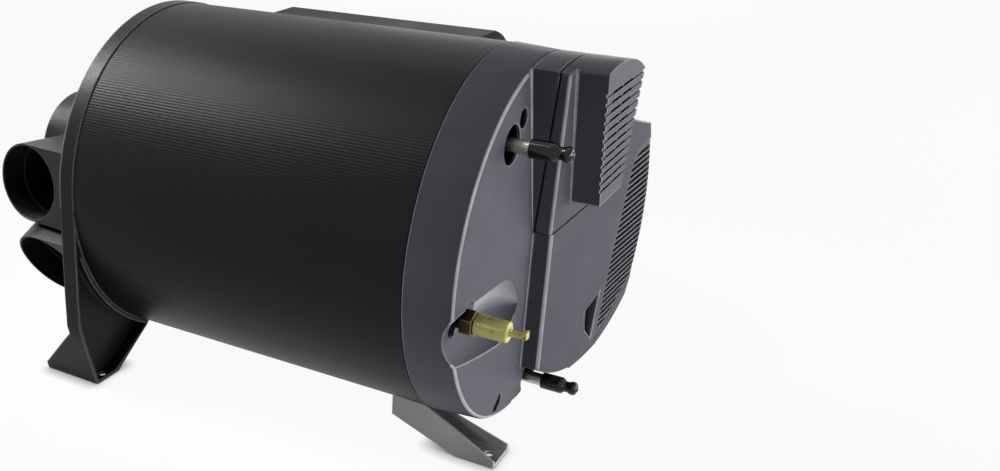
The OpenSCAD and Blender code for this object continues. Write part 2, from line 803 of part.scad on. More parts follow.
module heat_exchanger() color("#9c9ea0") place() difference() {
    union() {
        tube(x_ex[0], x_ex[1], chamber_r + fit_gap + hub_wall, chamber_r + fit_gap);
        tube(x_ex[1] - ring_len, x_ex[1], tank_bore_r - fit_gap, chamber_r + fit_gap);
        intersection() {
            tube(x_ex[0], x_ex[1], tank_bore_r - fit_gap, chamber_r + fit_gap);
            for (a = [0 : 360/fin_count : 359]) rotate([a, 0, 0])
                translate([x_ex[0], chamber_r + 2, -fin_t/2]) cube([x_ex[1] - x_ex[0], 30, fin_t]);
        }
    }
    flue_cut(exhaust_r + fit_gap);
    for (p = burner_bolts) bar(x_ex[1] - ring_len, x_ex[1] + 1, bolt_hole_r, p);
}
module combustion_chamber() color("#8a8680") place() difference() {
    bar(x_ex[0], x_ex[1] - fit_gap, chamber_r);
    bar(x_ex[0] + 1.5, x_ex[1] + 1, chamber_r - 1.5);
    flue_cut(exhaust_r + fit_gap);
}
igniter_at = [0, 30];
module burner_flange() color("#a4a6a8") place() difference() {
    bar(x_burner, x_blower, tank_bore_r);
    bar(x_burner - 1, x_blower + 1, 16);
    bar(x_burner - 1, x_blower + 1, 4 + fit_gap, igniter_at);
    for (p = burner_bolts) bar(x_burner - 1, x_blower + 1, bolt_hole_r, p);
    bar(x_burner - 1, x_blower + 1, pipe_r - tube_wall, pipe_end);
}
burner_len = 70;
module burner_tube() color("#77736c") place() difference() {
    union() {
        tube(x_burner - burner_len, x_burner, 18, 16);
        bar(x_burner - burner_len, x_burner - burner_len + 2, 18);
    }
    for (k = [0 : 4]) for (a = [0 : 45 : 315]) rotate([a, 0, 0])
        translate([x_burner - burner_len + 10 + 10*k, 10, -1.5]) cube([5, 10, 3]);
}
module igniter() color("#e8e4da") place() {
    bar(x_burner - 12, x_blower + 6, 4, igniter_at);
    bar(x_burner - 40, x_burner - 11, 1.2, igniter_at);
}
module burner_screws() color("#c0c0c0") place() for (p = burner_bolts) {
    bar(x_blower, x_blower + head_h, head_r, p);
    bar(x_burner - ring_len + 1, x_blower + 1, bolt_r, p);
}
module water_sensor() color("#c9a24a") place() bar(x_tank[1], x_tank[1] + 11, 6, [0, 100]);
module overheat_switch() color("#e6e3da") place() {
    bar(x_tank[1], x_tank[1] + 5, 9, [72, 66]);
    bar(x_tank[1] + 4, x_tank[1] + 9, 5, [72, 66]);
}

// Combustion-air blower on the burner's flange
blower_wall = 2;
module blower_housing() color("#54565a") place() difference() {
    bar(x_blower, x_blower + blower_w, blower_r);
    bar(x_blower - 1, x_blower + blower_w - blower_wall, blower_r - blower_wall);
    bar(x_blower, x_blower + blower_w + 1, shaft_r + 6);
    for (a = [0 : 60 : 300]) bar(x_blower, x_blower + blower_w + 1, 4, 30*[cos(a), sin(a)]);
}
impeller_x = [x_blower + 8, x_blower + blower_w - 5];
module blower_impeller() color("#303034") place() difference() {
    union() {
        bar(impeller_x[0], impeller_x[0] + 2, blower_r - 6);
        bar(impeller_x[0], impeller_x[1], 9);
        for (a = [0 : 36 : 324]) rotate([a, 0, 0])
            translate([impeller_x[0], 7, -0.8]) cube([impeller_x[1] - impeller_x[0], blower_r - 14, 1.6]);
    }
    bar(impeller_x[0] - 1, impeller_x[1] + 1, shaft_r + press_gap);
}
x_blower_motor = x_blower + blower_w;
module blower_shaft() color("#c8c8c8") place()
    bar(impeller_x[0], x_blower_motor + blower_motor_len - 8, shaft_r);
module blower_motor() color("#3a3a3d") place() difference() {
    bar(x_blower_motor, x_blower_motor + blower_motor_len, blower_motor_r);
    bar(x_blower_motor - 1, x_blower_motor + blower_motor_len - 4, shaft_r + shaft_gap);
}
module bulkhead() color("#7d7f82") place() difference() {
    bar(x_bulk, x_bulk + bulk_t, jacket_r - jacket_wall - fit_gap);
    bar(x_bulk - 1, x_bulk + bulk_t + 1, blower_motor_r + fit_gap);
    for (at = [hot_at, cold_yz]) bar(x_bulk - 1, x_bulk + bulk_t + 1, tube_r + 0.5, at);
    bar(x_bulk - 1, x_bulk + bulk_t + 1, pipe_r + fit_gap, gas_yz);
    bar(x_bulk - 1, x_bulk + bulk_t + 1, shaft_r + 4, fan_at);
    for (a = [20 : 60 : 320]) bar(x_bulk - 1, x_bulk + bulk_t + 1, 9, fan_at + 38*[cos(a), sin(a)]);
}
module tube_grommets() color("#141414") place() for (at = [hot_at, cold_yz])
    tube(x_bulk + bulk_t, x_bulk + bulk_t + 3, tube_r + 3, tube_r + 0.1, at);

// Circulation fan
wheel_hub_len = 0.6*wheel_w;
blade_w = 9;
blade_t = 1.2;
blade_turn = 30;
disc_t = 2;
module fan_wheel() color("#303034") place() difference() {
    union() {
        bar(wheel_x, wheel_x + disc_t, wheel_r, fan_at);
        bar(wheel_x, wheel_x + wheel_hub_len, shaft_r + hub_wall, fan_at);
        tube(wheel_x + wheel_w - disc_t, wheel_x + wheel_w, wheel_r, wheel_r - blade_w - disc_t, fan_at);
        for (a = [0 : 360/blade_count : 359])
            translate([wheel_x, fan_at[0], fan_at[1]])
            rotate([a, 0, 0]) translate([0, wheel_r - blade_w, 0])
            rotate([-blade_turn, 0, 0]) cube([wheel_w, blade_w, blade_t]);
    }
    bar(wheel_x - 1, wheel_x + wheel_w, shaft_r + press_gap, fan_at);
}
fan_motor_len = 30;
module fan_shaft() color("#c8c8c8") place()
    bar(x_bulk - fan_motor_len + 6, wheel_x + wheel_hub_len, shaft_r, fan_at);
module fan_motor() color("#3a3a3d") place() difference() {
    bar(x_bulk - fan_motor_len, x_bulk, motor_r, fan_at);
    bar(x_bulk - fan_motor_len + 4, x_bulk + 1, shaft_r + shaft_gap, fan_at);
}

// Flue box beside the drum
flue_box_x = [-x_end + flue_inset, flue_end];
flue_corner = [164, 42];
roof_fall = (flue_box_z[1] - flue_corner[1])/(box_y - flue_corner[0]);
roof_len = sqrt(1 + roof_fall*roof_fall);
module flue_outline(i) difference() {
    polygon([
        [0, flue_box_z[0] + i - spare],
        [box_y, flue_box_z[0] + i - spare],
        [box_y, flue_corner[1] - i*roof_len],
        [flue_corner[0] - (i*(roof_len - 1) + spare)/roof_fall, flue_box_z[1] - i + spare],
        [0, flue_box_z[1] - i + spare]
    ]);
    circle(jacket_r + fit_gap + i);
}
flue_corner_r = 6;
module flue_side(i) {
    x = [flue_box_x[0] + flue_corner_r, flue_box_x[1] - flue_corner_r];
    z = [flue_box_z[0] + flue_corner_r, flue_box_z[1] - flue_corner_r];
    r = flue_corner_r - i;
    q = r - blend;
    translate([x[0] - q, z[0]]) square([x[1] - x[0] + 2*q, z[1] - z[0]]);
    translate([x[0], z[0] - q]) square([x[1] - x[0], z[1] - z[0] + 2*q]);
    for (cx = x) for (cz = z) translate([cx, cz]) circle(r);
}
module flue_shell(i) intersection() {
    along(flue_box_x[0] - spare, flue_box_x[1] + spare) flue_outline(i);
    across(0, big) flue_side(i);
}
cover_t = 3;
boss_r = 6;
boss_len = 14;
boss_in = 8;
boss_x = [flue_box_x[0] + boss_in, flue_box_x[1] - boss_in];
boss_z = [flue_box_z[0] + boss_in, flue_corner[1] - 2*boss_in];
flue_bolts = [for (x = boss_x) for (z = boss_z) [x, z]];
// Round bar across the heater, through the flue box
module spoke(y0, y1, r, at) translate([at[0], y0, at[1]]) rotate([-90, 0, 0]) cylinder(r = r, h = y1 - y0);
module flue_box() color("#1c1c1e") place() difference() {
    union() {
        difference() {
            flue_shell(0);
            flue_shell(flue_wall);
        }
        intersection() {
            flue_shell(0);
            for (b = flue_bolts) spoke(box_y - cover_t - boss_len, box_y, boss_r, b);
        }
    }
    translate([-big, box_y - cover_t, -big]) cube(2*big);
    flue_cut(exhaust_r + fit_gap);
    for (b = flue_bolts) spoke(box_y - cover_t - boss_len + 2, box_y, bolt_hole_r, b);
}
module flue_cover() color("#1c1c1e") place() difference() {
    across(box_y - cover_t, box_y) intersection() {
        flue_side(0);
        translate([-big, flue_box_z[0]]) square([2*big, flue_corner[1] - flue_box_z[0]]);
    }
    flue_cut(spigot_r + fit_gap);
    for (b = flue_bolts) spoke(box_y - cover_t - 1, box_y + 1, bolt_hole_r, b);
}
module flue_screws() color("#c0c0c0") place() for (b = flue_bolts) {
    spoke(box_y, box_y + head_h, head_r, b);
    spoke(box_y - cover_t - boss_len + 4, box_y + 1, bolt_r, b);
}
flue_at = [flue_x, 0];
spigot_r = collar_r - 1;
rim_r = collar_r + 7;
rim_t = 3;
module air_collar() color("#2a2a2c") place() difference() {
    union() {
        spoke(box_y - cover_t, box_y + 1, spigot_r, flue_at);
        spoke(box_y, box_y + rim_t, rim_r, flue_at);
        spoke(box_y + 1, y_max, collar_r, flue_at);
    }
    spoke(box_y - cover_t - 1, y_max + 1, air_bore_r, flue_at);
}
exhaust_wall = 1.5;
exhaust_y = chamber_r - 6;
module exhaust_pipe() color("#a9a9a6") place() difference() {
    spoke(exhaust_y, y_max, exhaust_r, flue_at);
    spoke(exhaust_y - 1, y_max + 1, exhaust_r - exhaust_wall, flue_at);
}

jacket();
front_gasket();
rear_gasket();
rear_cap();
outlet_upper_near();
outlet_lower_near();
outlet_upper_far();
outlet_lower_far();
rear_foot_near();
rear_foot_far();
front_foot();
front_cap();
fan_cover();
intake_louvre();
electronics_cover();
circuit_board();
board_posts();
board_parts();
hot_water_tube();
cold_water_tube();
hot_water_cap();
cold_water_cap();
gas_fitting();
gas_locknut();
gas_cap();
gas_valve();
gas_pipe();
water_tank();
insulation();
heat_exchanger();
combustion_chamber();
burner_flange();
burner_tube();
igniter();
burner_screws();
blower_housing();
blower_impeller();
blower_shaft();
blower_motor();
bulkhead();
tube_grommets();
water_sensor();
overheat_switch();
fan_wheel();
fan_shaft();
fan_motor();
flue_box();
flue_cover();
flue_screws();
air_collar();
exhaust_pipe();
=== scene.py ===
import bmesh
import bpy
import json
import math
from mathutils import Matrix, Vector
from mathutils.kdtree import KDTree


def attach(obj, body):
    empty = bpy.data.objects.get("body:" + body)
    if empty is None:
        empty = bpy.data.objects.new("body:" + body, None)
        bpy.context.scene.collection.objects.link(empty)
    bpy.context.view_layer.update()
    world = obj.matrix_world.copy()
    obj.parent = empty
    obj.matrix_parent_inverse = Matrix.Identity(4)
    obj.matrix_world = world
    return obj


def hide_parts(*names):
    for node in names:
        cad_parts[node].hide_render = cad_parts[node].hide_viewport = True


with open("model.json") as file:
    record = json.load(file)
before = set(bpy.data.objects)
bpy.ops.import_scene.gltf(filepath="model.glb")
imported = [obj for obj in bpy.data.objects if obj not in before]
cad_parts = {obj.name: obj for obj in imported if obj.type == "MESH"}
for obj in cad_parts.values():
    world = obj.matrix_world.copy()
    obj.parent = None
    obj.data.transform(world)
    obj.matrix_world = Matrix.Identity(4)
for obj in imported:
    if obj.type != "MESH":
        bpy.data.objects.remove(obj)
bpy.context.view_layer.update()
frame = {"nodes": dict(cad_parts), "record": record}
nodes = frame["nodes"]
scene = bpy.context.scene
millimetre = 0.001
drumMiddle = Vector((0.020808, -0.074, 0.1575))  # the drum's axis, halfway along the jacket


def onDrum(x, y, z):  # millimetres from the middle of the drum, x towards the covers
    return drumMiddle + Vector((x, y, z)) * millimetre


def fromDrum(place):  # the same the other way round
    return (place - drumMiddle) / millimetre


# view of the heater as photographed
viewFrom = {
    "place": onDrum(423.3, -697.3, 305.8), "turn": (63.01, 0.0, 31.18),
    "lens": 37.37, "sensor": 36.0, "shift": (0.1743, 0.0778), "nearest": 0.01,
}
cameraData = bpy.data.cameras.new("viewCamera")
cameraData.lens = viewFrom["lens"]
cameraData.sensor_width = viewFrom["sensor"]
cameraData.sensor_fit = "HORIZONTAL"
cameraData.shift_x, cameraData.shift_y = viewFrom["shift"]
cameraData.clip_start = viewFrom["nearest"]
viewCamera = bpy.data.objects.new("viewCamera", cameraData)
viewCamera.location = viewFrom["place"]
viewCamera.rotation_euler = [math.radians(a) for a in viewFrom["turn"]]
scene.collection.objects.link(viewCamera)
scene.camera = viewCamera
scene.view_settings.view_transform = "Standard"
print("stage: camera")

# lamps, world and floor, in metres, watts and degrees
lamps = {
    "rearTop": {
        "place": (-1.2, -0.3, 1.2), "aim": (-0.3, -0.1, 0.25), "size": (0.6, 0.6), "power": 1.45, "spread": 24},
    "upperLeft": {
        "place": (-0.55, -0.6, 1.7), "aim": (-0.12, -0.2, 0.27), "size": (0.5, 0.5), "power": 0.18, "spread": 26},
    "coversSide": {
        "place": (1.68, 0.05, 0.2), "aim": (0.15, -0.05, 0.16), "size": (1.5, 0.36), "power": 18, "spread": 180},
    "coversFar": {
        "place": (1.3, 1.0, 0.22), "aim": (0.15, 0.0, 0.16), "size": (1.0, 0.4), "power": 8, "spread": 180},
    "flueSide": {
        "place": (-0.5, 1.9, 0.3), "aim": (0.0, 0.0, 0.15), "size": (0.9, 0.5), "power": 3, "spread": 180},
    "spark": {
        "place": (0.0, 0.05, 1.7), "aim": (0.2, -0.1, 0.2), "size": (0.1, 0.1), "power": 0.6, "spread": 180},
    "footSide": {
        "place": (-0.1, -1.0, 0.6), "aim": (0.185, -0.12, 0.0), "size": (0.15, 0.15), "power": 0.03, "spread": 14},
}
room = {
    "light": 0.02, "colour": (0.94, 0.96, 1.0),
    "floor": (0.75, 0.75, 0.75), "floorSize": 6.0, "floorGlow": 0.94, "contact": 0.012, "contactSamples": 4,
}
for name, lamp in lamps.items():
    lampData = bpy.data.lights.new(name, "AREA")
    lampData.shape = "RECTANGLE"
    lampData.size, lampData.size_y = lamp["size"]
    lampData.energy = lamp["power"]
    lampData.spread = math.radians(lamp["spread"])
    lampObject = bpy.data.objects.new(name, lampData)
    lampObject.location = lamp["place"]
    ahead = Vector(lamp["aim"]) - Vector(lamp["place"])
    lampObject.rotation_euler = ahead.to_track_quat("-Z", "Y").to_euler()
    scene.collection.objects.link(lampObject)


def seenOrMirrored(tree):  # 1 for rays from the camera, for reflections and for rays through clear pieces
    path = tree.nodes.new("ShaderNodeLightPath")
    first = tree.nodes.new("ShaderNodeMath")
    first.operation = "MAXIMUM"
    second = tree.nodes.new("ShaderNodeMath")
    second.operation = "MAXIMUM"
    tree.links.new(path.outputs["Is Camera Ray"], first.inputs[0])
    tree.links.new(path.outputs["Is Glossy Ray"], first.inputs[1])
    tree.links.new(first.outputs[0], second.inputs[0])
    tree.links.new(path.outputs["Is Transmission Ray"], second.inputs[1])
    return second.outputs[0]


world = bpy.data.worlds.new("paleRoom")
scene.world = world
world.use_nodes = True
worldTree = world.node_tree
roomLight = worldTree.nodes["Background"]
roomLight.inputs["Color"].default_value = (*room["colour"], 1)
roomLight.inputs["Strength"].default_value = room["light"]
roomWhite = worldTree.nodes.new("ShaderNodeBackground")
roomWhite.inputs["Color"].default_value = (1, 1, 1, 1)
roomMix = worldTree.nodes.new("ShaderNodeMixShader")
worldTree.links.new(seenOrMirrored(worldTree), roomMix.inputs[0])
worldTree.links.new(roomLight.outputs[0], roomMix.inputs[1])
worldTree.links.new(roomWhite.outputs[0], roomMix.inputs[2])
worldTree.links.new(roomMix.outputs[0], worldTree.nodes["World Output"].inputs["Surface"])

floorMesh = bpy.data.meshes.new("paleFloor")
floorForm = bmesh.new()
bmesh.ops.create_grid(floorForm, x_segments=1, y_segments=1, size=room["floorSize"])
floorForm.to_mesh(floorMesh)
floorForm.free()
floor = bpy.data.objects.new("paleFloor", floorMesh)
scene.collection.objects.link(floor)
floorFinish = bpy.data.materials.new("paleFloor")
floorFinish.use_nodes = True
floorTree = floorFinish.node_tree
floorTree.nodes.remove(floorTree.nodes["Principled BSDF"])
floorMatte = floorTree.nodes.new("ShaderNodeBsdfDiffuse")
floorMatte.inputs["Color"].default_value = (*room["floor"], 1)
floorGlow = floorTree.nodes.new("ShaderNodeEmission")
floorShare = floorTree.nodes.new("ShaderNodeMath")
floorShare.operation = "MULTIPLY"
floorShare.inputs[1].default_value = room["floorGlow"]
floorMix = floorTree.nodes.new("ShaderNodeMixShader")
floorContact = floorTree.nodes.new("ShaderNodeAmbientOcclusion")  # the shade right under the feet
floorContact.inputs["Distance"].default_value = room["contact"]
floorContact.samples = room["contactSamples"]
floorTree.links.new(seenOrMirrored(floorTree), floorShare.inputs[0])
floorTree.links.new(floorContact.outputs["Color"], floorGlow.inputs["Color"])
floorTree.links.new(floorShare.outputs[0], floorMix.inputs[0])
floorTree.links.new(floorMatte.outputs[0], floorMix.inputs[1])
floorTree.links.new(floorGlow.outputs[0], floorMix.inputs[2])
floorTree.links.new(floorMix.outputs[0], floorTree.nodes["Material Output"].inputs["Surface"])
floorMesh.materials.append(floorFinish)
print("stage: light and floor")

# finishes, one for each slot of the record
noiseSpan = (0.3, 0.7)  # where most of a noise lies


def newSurface(name):
    material = bpy.data.materials.new(name)
    material.use_nodes = True
    tree = material.node_tree
    place = tree.nodes.new("ShaderNodeTexCoord").outputs["Object"]
    return {"material": material, "tree": tree, "shader": tree.nodes["Principled BSDF"], "place": place}


def addNode(surface, kind, **sockets):
    node = surface["tree"].nodes.new(kind)
    for key, value in sockets.items():
        node.inputs[key.replace("_", " ")].default_value = value
    return node


def join(surface, source, target):
    surface["tree"].links.new(source, target)


def noiseOn(surface, scale, detail, stretch=None):
    node = addNode(surface, "ShaderNodeTexNoise", Scale=scale, Detail=detail)
    place = surface["place"]
    if stretch:
        mapping = addNode(surface, "ShaderNodeMapping", Scale=stretch)
        join(surface, place, mapping.inputs["Vector"])
        place = mapping.outputs["Vector"]
    join(surface, place, node.inputs["Vector"])
    return node.outputs["Fac"]


def spanOf(surface, source, low, high):
    node = addNode(
        surface, "ShaderNodeMapRange", From_Min=noiseSpan[0], From_Max=noiseSpan[1], To_Min=low, To_Max=high)
    join(surface, source, node.inputs["Value"])
    return node.outputs["Result"]


def tintOf(surface, source, dark, light):
    ramp = surface["tree"].nodes.new("ShaderNodeValToRGB")
    for element, position, colour in zip(ramp.color_ramp.elements, noiseSpan, (dark, light)):
        element.position = position
        element.color = (*colour, 1)
    join(surface, source, ramp.inputs["Fac"])
    return ramp.outputs["Color"]


def reliefOf(surface, source, depth):
    node = addNode(surface, "ShaderNodeBump", Distance=depth)
    join(surface, source, node.inputs["Height"])
    return node.outputs["Normal"]


def unevenShare(surface, layer):  # how strongly a face carries painted highlight or painted shade, unevenly
    attribute = surface["tree"].nodes.new("ShaderNodeAttribute")
    attribute.attribute_name = layer
    share = surface["tree"].nodes.new("ShaderNodeMath")
    share.operation = "MULTIPLY"
    join(surface, attribute.outputs["Fac"], share.inputs[0])
    join(surface, spanOf(surface, noiseOn(surface, scale=60.0, detail=3.0), low=0.7, high=1.0), share.inputs[1])
    return share.outputs[0]


def mixedBy(surface, share, first, second, kind):  # a colour or a number that goes from first to second
    mix = surface["tree"].nodes.new("ShaderNodeMix")
    mix.data_type = kind
    wanted = "RGBA" if kind == "RGBA" else "VALUE"
    sockets = {i.name: i for i in mix.inputs if i.type == wanted and i.name in ("A", "B")}
    join(surface, share, mix.inputs[0])
    join(surface, first, sockets["A"])
    sockets["B"].default_value = second
    return next(o for o in mix.outputs if o.type == wanted)


def finishOf(surface, colour=None, roughness=None, normal=None, **fixed):
    shader = surface["shader"]
    for key, value in fixed.items():
        shader.inputs[key.replace("_", " ")].default_value = value
    for socket, source in (("Base Color", colour), ("Roughness", roughness), ("Normal", normal)):
        if source is not None:
            join(surface, source, shader.inputs[socket])
    return surface["material"]


def shade(colour, factor):
    return tuple(min(1.0, c * factor) for c in colour)


def mouldedPlastic(name, colour, rough, grain, depth, gloss, edge=None):
    s = newSurface(name)
    patch = noiseOn(s, scale=26.0, detail=4.0)
    tint = tintOf(s, patch, dark=shade(colour, factor=0.92), light=shade(colour, factor=1.07))
    matt = spanOf(s, patch, low=rough - 0.05, high=rough + 0.05)
    if edge:
        # painted highlight: marked faces are lightened towards the edge colour and made less rough
        paintedHighlight = unevenShare(s, "paintedHighlight")
        # painted shade: marked seams, slot floors and gaps between slats go nearly black
        paintedShadeColour = shade(colour, factor=0.06)
        polish = rough * 0.55
        tint = mixedBy(s, paintedHighlight, tint, (*edge, 1), "RGBA")
        tint = mixedBy(s, unevenShare(s, "paintedShade"), tint, (*paintedShadeColour, 1), "RGBA")
        matt = mixedBy(s, paintedHighlight, matt, polish, "FLOAT")
    return finishOf(
        s, colour=tint, roughness=matt,
        normal=reliefOf(s, noiseOn(s, scale=grain, detail=2.0), depth),
        Specular_IOR_Level=gloss)


def sheetMetal(name, colour, rough, stretch, metallic=1.0, edge=None):
    s = newSurface(name)
    streak = noiseOn(s, scale=90.0, detail=3.0, stretch=stretch)
    patch = noiseOn(s, scale=18.0, detail=4.0)
    tint = tintOf(s, patch, dark=shade(colour, factor=0.78), light=shade(colour, factor=1.16))
    if edge:
        # painted highlight: marked faces are lightened towards the edge colour
        tint = mixedBy(s, unevenShare(s, "paintedHighlight"), tint, (*edge, 1), "RGBA")
    return finishOf(
        s, colour=tint,
        roughness=spanOf(s, streak, low=rough - 0.08, high=rough + 0.1),
        normal=reliefOf(s, streak, depth=0.00004),
        Metallic=metallic)


def castMetal(name, colour, rough):
    s = newSurface(name)
    patch = noiseOn(s, scale=40.0, detail=5.0)
    return finishOf(
        s, colour=tintOf(s, patch, dark=shade(colour, factor=0.8), light=shade(colour, factor=1.12)),
        roughness=spanOf(s, patch, low=rough - 0.08, high=rough + 0.1),
        normal=reliefOf(s, noiseOn(s, scale=900.0, detail=2.0), depth=0.00015),
        Metallic=0.9)


def jacketCoat():  # black coat, slightly dusty and uneven
    s = newSurface("jacketCoat")
    patch = noiseOn(s, scale=7.0, detail=5.0)
    colour = (0.0115, 0.0115, 0.0142)
    return finishOf(
        s, colour=tintOf(s, patch, dark=shade(colour, factor=0.85), light=shade(colour, factor=1.15)),
        roughness=spanOf(s, patch, low=0.35, high=0.42),
        normal=reliefOf(s, noiseOn(s, scale=1400.0, detail=2.0), depth=0.00005),
        Specular_IOR_Level=0.1)


def foamFinish():
    s = newSurface("foam")
    cells = addNode(s, "ShaderNodeTexVoronoi", Scale=420.0)
    join(s, s["place"], cells.inputs["Vector"])
    patch = noiseOn(s, scale=30.0, detail=4.0)
    return finishOf(
        s, colour=tintOf(s, patch, dark=(0.56, 0.5, 0.32), light=(0.72, 0.66, 0.46)),
        normal=reliefOf(s, cells.outputs["Distance"], depth=0.0012),
        Roughness=0.95)


def boardFinish():
    s = newSurface("circuitBoard")
    tracks = addNode(s, "ShaderNodeTexVoronoi", Scale=230.0)
    tracks.distance = "MANHATTAN"
    join(s, s["place"], tracks.inputs["Vector"])
    return finishOf(
        s, colour=tintOf(s, tracks.outputs["Distance"], dark=(0.015, 0.11, 0.04), light=(0.03, 0.2, 0.08)),
        Roughness=0.4)


def yellowPlastic():
    s = newSurface("yellowPlastic")
    patch = noiseOn(s, scale=120.0, detail=3.0)
    return finishOf(
        s, colour=tintOf(s, patch, dark=(0.72, 0.67, 0.18), light=(0.85, 0.81, 0.3)),
        roughness=spanOf(s, patch, low=0.25, high=0.36),
        Transmission_Weight=0.12,
        IOR=1.46)


# each edge colour below is a painted highlight, laid on the faces marked for painted highlight
finishes = {
    "jacket_black": jacketCoat(),
    "cap_black": mouldedPlastic(
        "capBlack", colour=(0.0105, 0.0105, 0.012), rough=0.4, grain=1500.0, depth=0.00008, gloss=0.13,
        edge=(0.2, 0.2, 0.215)),
    "cover_grey": mouldedPlastic(
        "coverGrey", colour=(0.116, 0.117, 0.14), rough=0.4, grain=1300.0, depth=0.00006, gloss=0.03,
        edge=(0.58, 0.585, 0.62)),
    "louvre_grey": mouldedPlastic(
        "louvreGrey", colour=(0.1, 0.102, 0.118), rough=0.42, grain=1300.0, depth=0.00006, gloss=0.14,
        edge=(0.4, 0.405, 0.43)),
    "foot_metal": sheetMetal(
        "footMetal", colour=(0.26, 0.265, 0.26), rough=0.45, stretch=(1.0, 6.0, 6.0), metallic=0.1,
        edge=(0.7, 0.7, 0.7)),
    "cap_gloss": mouldedPlastic(
        "capGloss", colour=(0.007, 0.007, 0.008), rough=0.13, grain=500.0, depth=0.00003, gloss=0.3),
    "cap_yellow": yellowPlastic(),
    "tube_steel": sheetMetal("tubeSteel", colour=(0.46, 0.45, 0.42), rough=0.3, stretch=(1.0, 9.0, 9.0)),
    "fitting_brass": sheetMetal(
        "fittingBrass", colour=(0.04, 0.028, 0.015), rough=0.35, stretch=(1.0, 5.0, 5.0), metallic=0.9,
        edge=(0.26, 0.18, 0.09)),
    "gasket_rubber": mouldedPlastic(
        "gasketRubber", colour=(0.012, 0.012, 0.012), rough=0.75, grain=900.0, depth=0.0001, gloss=0.1),
    "tank_steel": sheetMetal("tankSteel", colour=(0.5, 0.51, 0.52), rough=0.34, stretch=(1.0, 8.0, 8.0)),
    "foam": foamFinish(),
    "cast_alloy": castMetal("castAlloy", colour=(0.42, 0.43, 0.44), rough=0.5),
    "burner_steel": sheetMetal("burnerSteel", colour=(0.24, 0.21, 0.18), rough=0.4, stretch=(1.0, 8.0, 8.0)),
    "ceramic": mouldedPlastic(
        "ceramic", colour=(0.72, 0.7, 0.62), rough=0.3, grain=600.0, depth=0.00005, gloss=0.5),
    "screw_zinc": sheetMetal("screwZinc", colour=(0.56, 0.56, 0.53), rough=0.32, stretch=(4.0, 4.0, 1.0)),
    "motor_dark": sheetMetal(
        "motorDark", colour=(0.035, 0.035, 0.04), rough=0.4, stretch=(1.0, 6.0, 6.0), metallic=0.3),
    "plate_zinc": sheetMetal("plateZinc", colour=(0.4, 0.41, 0.42), rough=0.42, stretch=(6.0, 1.0, 1.0)),
    "board_green": boardFinish(),
    "copper": sheetMetal("copper", colour=(0.52, 0.23, 0.11), rough=0.3, stretch=(4.0, 1.0, 4.0)),
    "flue_black": mouldedPlastic(
        "flueBlack", colour=(0.03, 0.03, 0.032), rough=0.5, grain=700.0, depth=0.00012, gloss=0.015,
        edge=(0.2, 0.2, 0.21)),
}
slotOfNode = {part["node"]: part["material_slot"] for part in frame["record"]["subparts"]}
for nodeName, node in nodes.items():
    node.data.materials.clear()
    node.data.materials.append(finishes[slotOfNode[nodeName]])
print("stage: finishes")


def addPiece(name, form, slot, body="heater", instead=None, smoothBelow=None):  # a finished mesh, riding on its body
    mesh = bpy.data.meshes.new(name)
    form.to_mesh(mesh)
    form.free()
    if smoothBelow is not None:
        mesh.shade_smooth()
        mesh.set_sharp_from_angle(angle=math.radians(smoothBelow))
    mesh.materials.append(finishes[slot])
    piece = bpy.data.objects.new(name, mesh)
    scene.collection.objects.link(piece)
    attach(piece, body)
    if instead:
        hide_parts(instead)
    return piece


def vertsOf(geometry):
    return [g for g in geometry if isinstance(g, bmesh.types.BMVert)]


def edgesOf(geometry):
    return [g for g in geometry if isinstance(g, bmesh.types.BMEdge)]


def wholeOf(form):
    return form.verts[:] + form.edges[:] + form.faces[:]


# ribbed skin of the drum, each rib four points round: a valley, a flank, the crest and a flank
skin = {
    "radius": 141.5, "length": 290.0, "ribs": 376, "ribPoints": 4, "ribDepth": 0.1, "flankShare": 0.45,
    "steps": 12, "wall": 1.2, "flueAt": (10.0, 0.0), "flueRadius": 29.5,
}


def ribbedSkin():
    form = bmesh.new()
    points = skin["ribPoints"]
    bmesh.ops.create_circle(form, segments=skin["ribs"] * points, radius=skin["radius"] * millimetre)
    form.verts.ensure_lookup_table()
    valleys = [v for i, v in enumerate(form.verts) if i % points == 0]
    flanks = [v for i, v in enumerate(form.verts) if i % 2 == 1]
    dip = skin["ribDepth"] / skin["radius"]
    for verts, share in ((valleys, 1.0), (flanks, skin["flankShare"])):
        bmesh.ops.scale(form, vec=(1 - dip * share, 1 - dip * share, 1), verts=verts)
    bmesh.ops.rotate(form, matrix=Matrix.Rotation(math.radians(90), 3, "Y"), verts=form.verts)
    bmesh.ops.translate(form, vec=onDrum(-skin["length"] / 2, 0, 0), verts=form.verts)
    stride = (skin["length"] / skin["steps"] * millimetre, 0, 0)
    rim = list(form.edges)
    for step in range(skin["steps"]):
        grown = bmesh.ops.extrude_edge_only(form, edges=rim)["geom"]
        bmesh.ops.translate(form, vec=stride, verts=vertsOf(grown))
        rim = edgesOf(grown)
    hole = onDrum(skin["flueAt"][0], 0, skin["flueAt"][1])
    reach = skin["flueRadius"] * millimetre
    gone = []
    for face in form.faces:
        middle = face.calc_center_median()
        if middle.y > drumMiddle.y and abs(middle.x - hole.x) < reach and abs(middle.z - hole.z) < reach:
            gone.append(face)
    bmesh.ops.delete(form, geom=gone, context="FACES")
    bmesh.ops.recalc_face_normals(form, faces=form.faces)
    bmesh.ops.solidify(form, geom=form.faces[:], thickness=skin["wall"] * millimetre)
    bmesh.ops.recalc_face_normals(form, faces=form.faces)
    return form


addPiece("drumSkin", ribbedSkin(), "jacket_black", instead="jacket")
print("stage: ribbed skin")

